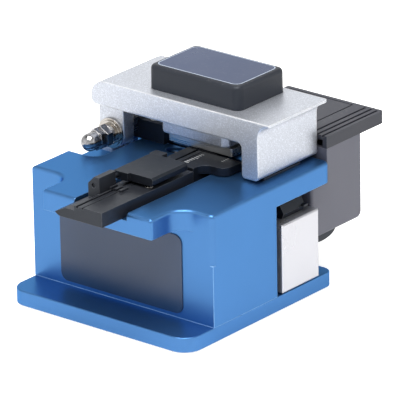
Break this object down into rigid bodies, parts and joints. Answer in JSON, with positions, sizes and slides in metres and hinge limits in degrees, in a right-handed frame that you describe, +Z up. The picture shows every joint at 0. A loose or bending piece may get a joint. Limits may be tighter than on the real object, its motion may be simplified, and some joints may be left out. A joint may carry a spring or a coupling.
{
  "type": "fibre_optic_cleaver",
  "caption": "Bench fibre cleaver: blue anodised body, blasted silver clamp arm with push pad, round blade on a sliding carriage, fibre adapter and scrap box",
  "frame": {"origin": "centre of the flat underside of the standing pad", "axes": "+Z up; -Y towards the operator, the side with the label; +X towards the open end of the blade carriage; the fibre lies along Y"},
  "size_m": [0.0662, 0.0999, 0.0629],
  "materials": {
    "blue_anodised": "satin",
    "silver_blasted": "satin",
    "brushed_steel": "brushed",
    "bright_nickel": "polished",
    "black_anodised": "satin",
    "white_coated": "satin",
    "grey_plastic": "matte",
    "dark_plastic": "matte",
    "pad_rubber": "matte",
    "label_film": "satin",
    "carbide": "polished"
  },
  "bodies": {
    "base": {"base_body": "blue_anodised", "standing_pad": "pad_rubber", "front_label_plate": "label_film", "deck_magnets": "bright_nickel", "stop_strip": "pad_rubber", "guide_rail": "brushed_steel", "rail_screws": "bright_nickel", "hinge_block": "black_anodised", "hinge_screws": "bright_nickel", "hinge_pin": "brushed_steel", "hinge_clip": "brushed_steel", "hinge_spacer": "brushed_steel", "dome_nut": "bright_nickel", "lock_nut": "bright_nickel", "hinge_collar": "bright_nickel", "small_washer": "bright_nickel", "large_washer": "bright_nickel", "front_pad_seat": "black_anodised", "rear_pad_seat": "black_anodised", "front_lower_pad": "pad_rubber", "rear_lower_pad": "pad_rubber", "fibre_adapter": "black_anodised", "adapter_magnet": "bright_nickel", "lid_pin": "brushed_steel", "guide_plate": "black_anodised", "box_bracket": "black_anodised", "box_screws": "bright_nickel"},
    "carriage": {"blade_carriage": "white_coated", "rail_bearing": "brushed_steel", "blade_bracket": "black_anodised", "bracket_screws": "bright_nickel", "blade_shaft": "brushed_steel", "trip_bar": "dark_plastic"},
    "blade_wheel": {"blade": "carbide"},
    "arm": {"arm": "silver_blasted", "ear_bushes": "brushed_steel", "push_pad": "pad_rubber", "push_pad_label_plate": "label_film", "clamp_block": "silver_blasted", "clamp_screws": "bright_nickel"},
    "upper_clamp": {"clamp_carrier": "brushed_steel", "guide_screws": "bright_nickel", "carrier_studs": "bright_nickel", "front_upper_pad": "pad_rubber", "rear_upper_pad": "pad_rubber", "clamp_springs": "brushed_steel"},
    "anvil": {"anvil": "brushed_steel", "anvil_spring": "brushed_steel"},
    "adapter_lid": {"adapter_lid": "black_anodised", "lid_magnet": "bright_nickel", "lid_pad": "pad_rubber"},
    "scrap_box": {"scrap_box": "grey_plastic", "box_bumper": "pad_rubber"},
    "scrap_lid": {"box_lid": "dark_plastic"}
  },
  "joints": [
    {"name": "arm_hinge", "type": "hinge", "parent": "base", "child": "arm", "pos_m": [-0.0267, 0.0195, 0.0403], "axis": [0, -1, 0], "range_deg": [0, 50]},
    {"name": "carriage_slide", "type": "slide", "parent": "base", "child": "carriage", "axis": [1, 0, 0], "range_m": [0, 0.016]},
    {"name": "blade_turn", "type": "hinge", "parent": "carriage", "child": "blade_wheel", "pos_m": [-0.0055, 0.01625, 0.02925], "axis": [0, 1, 0], "continuous": true},
    {"name": "clamp_float", "type": "slide", "parent": "arm", "child": "upper_clamp", "axis": [0, 0, 1], "range_m": [0, 0.0005], "stiffness_N_per_m": 600, "springref_m": -0.001, "deforming": ["clamp_springs"]},
    {"name": "anvil_press", "type": "slide", "parent": "arm", "child": "anvil", "axis": [0, 0, -1], "range_m": [0, 0.0008], "stiffness_N_per_m": 300, "springref_m": -0.001, "deforming": ["anvil_spring"]},
    {"name": "adapter_lid_hinge", "type": "hinge", "parent": "base", "child": "adapter_lid", "pos_m": [-0.0013, -0.0125, 0.042], "axis": [0, -1, 0], "range_deg": [0, 110]},
    {"name": "scrap_box_slide", "type": "slide", "parent": "base", "child": "scrap_box", "axis": [0, 1, 0], "range_m": [0, 0.03]},
    {"name": "scrap_lid_slide", "type": "slide", "parent": "scrap_box", "child": "scrap_lid", "axis": [0, 1, 0], "range_m": [0, 0.02]}
  ]
}
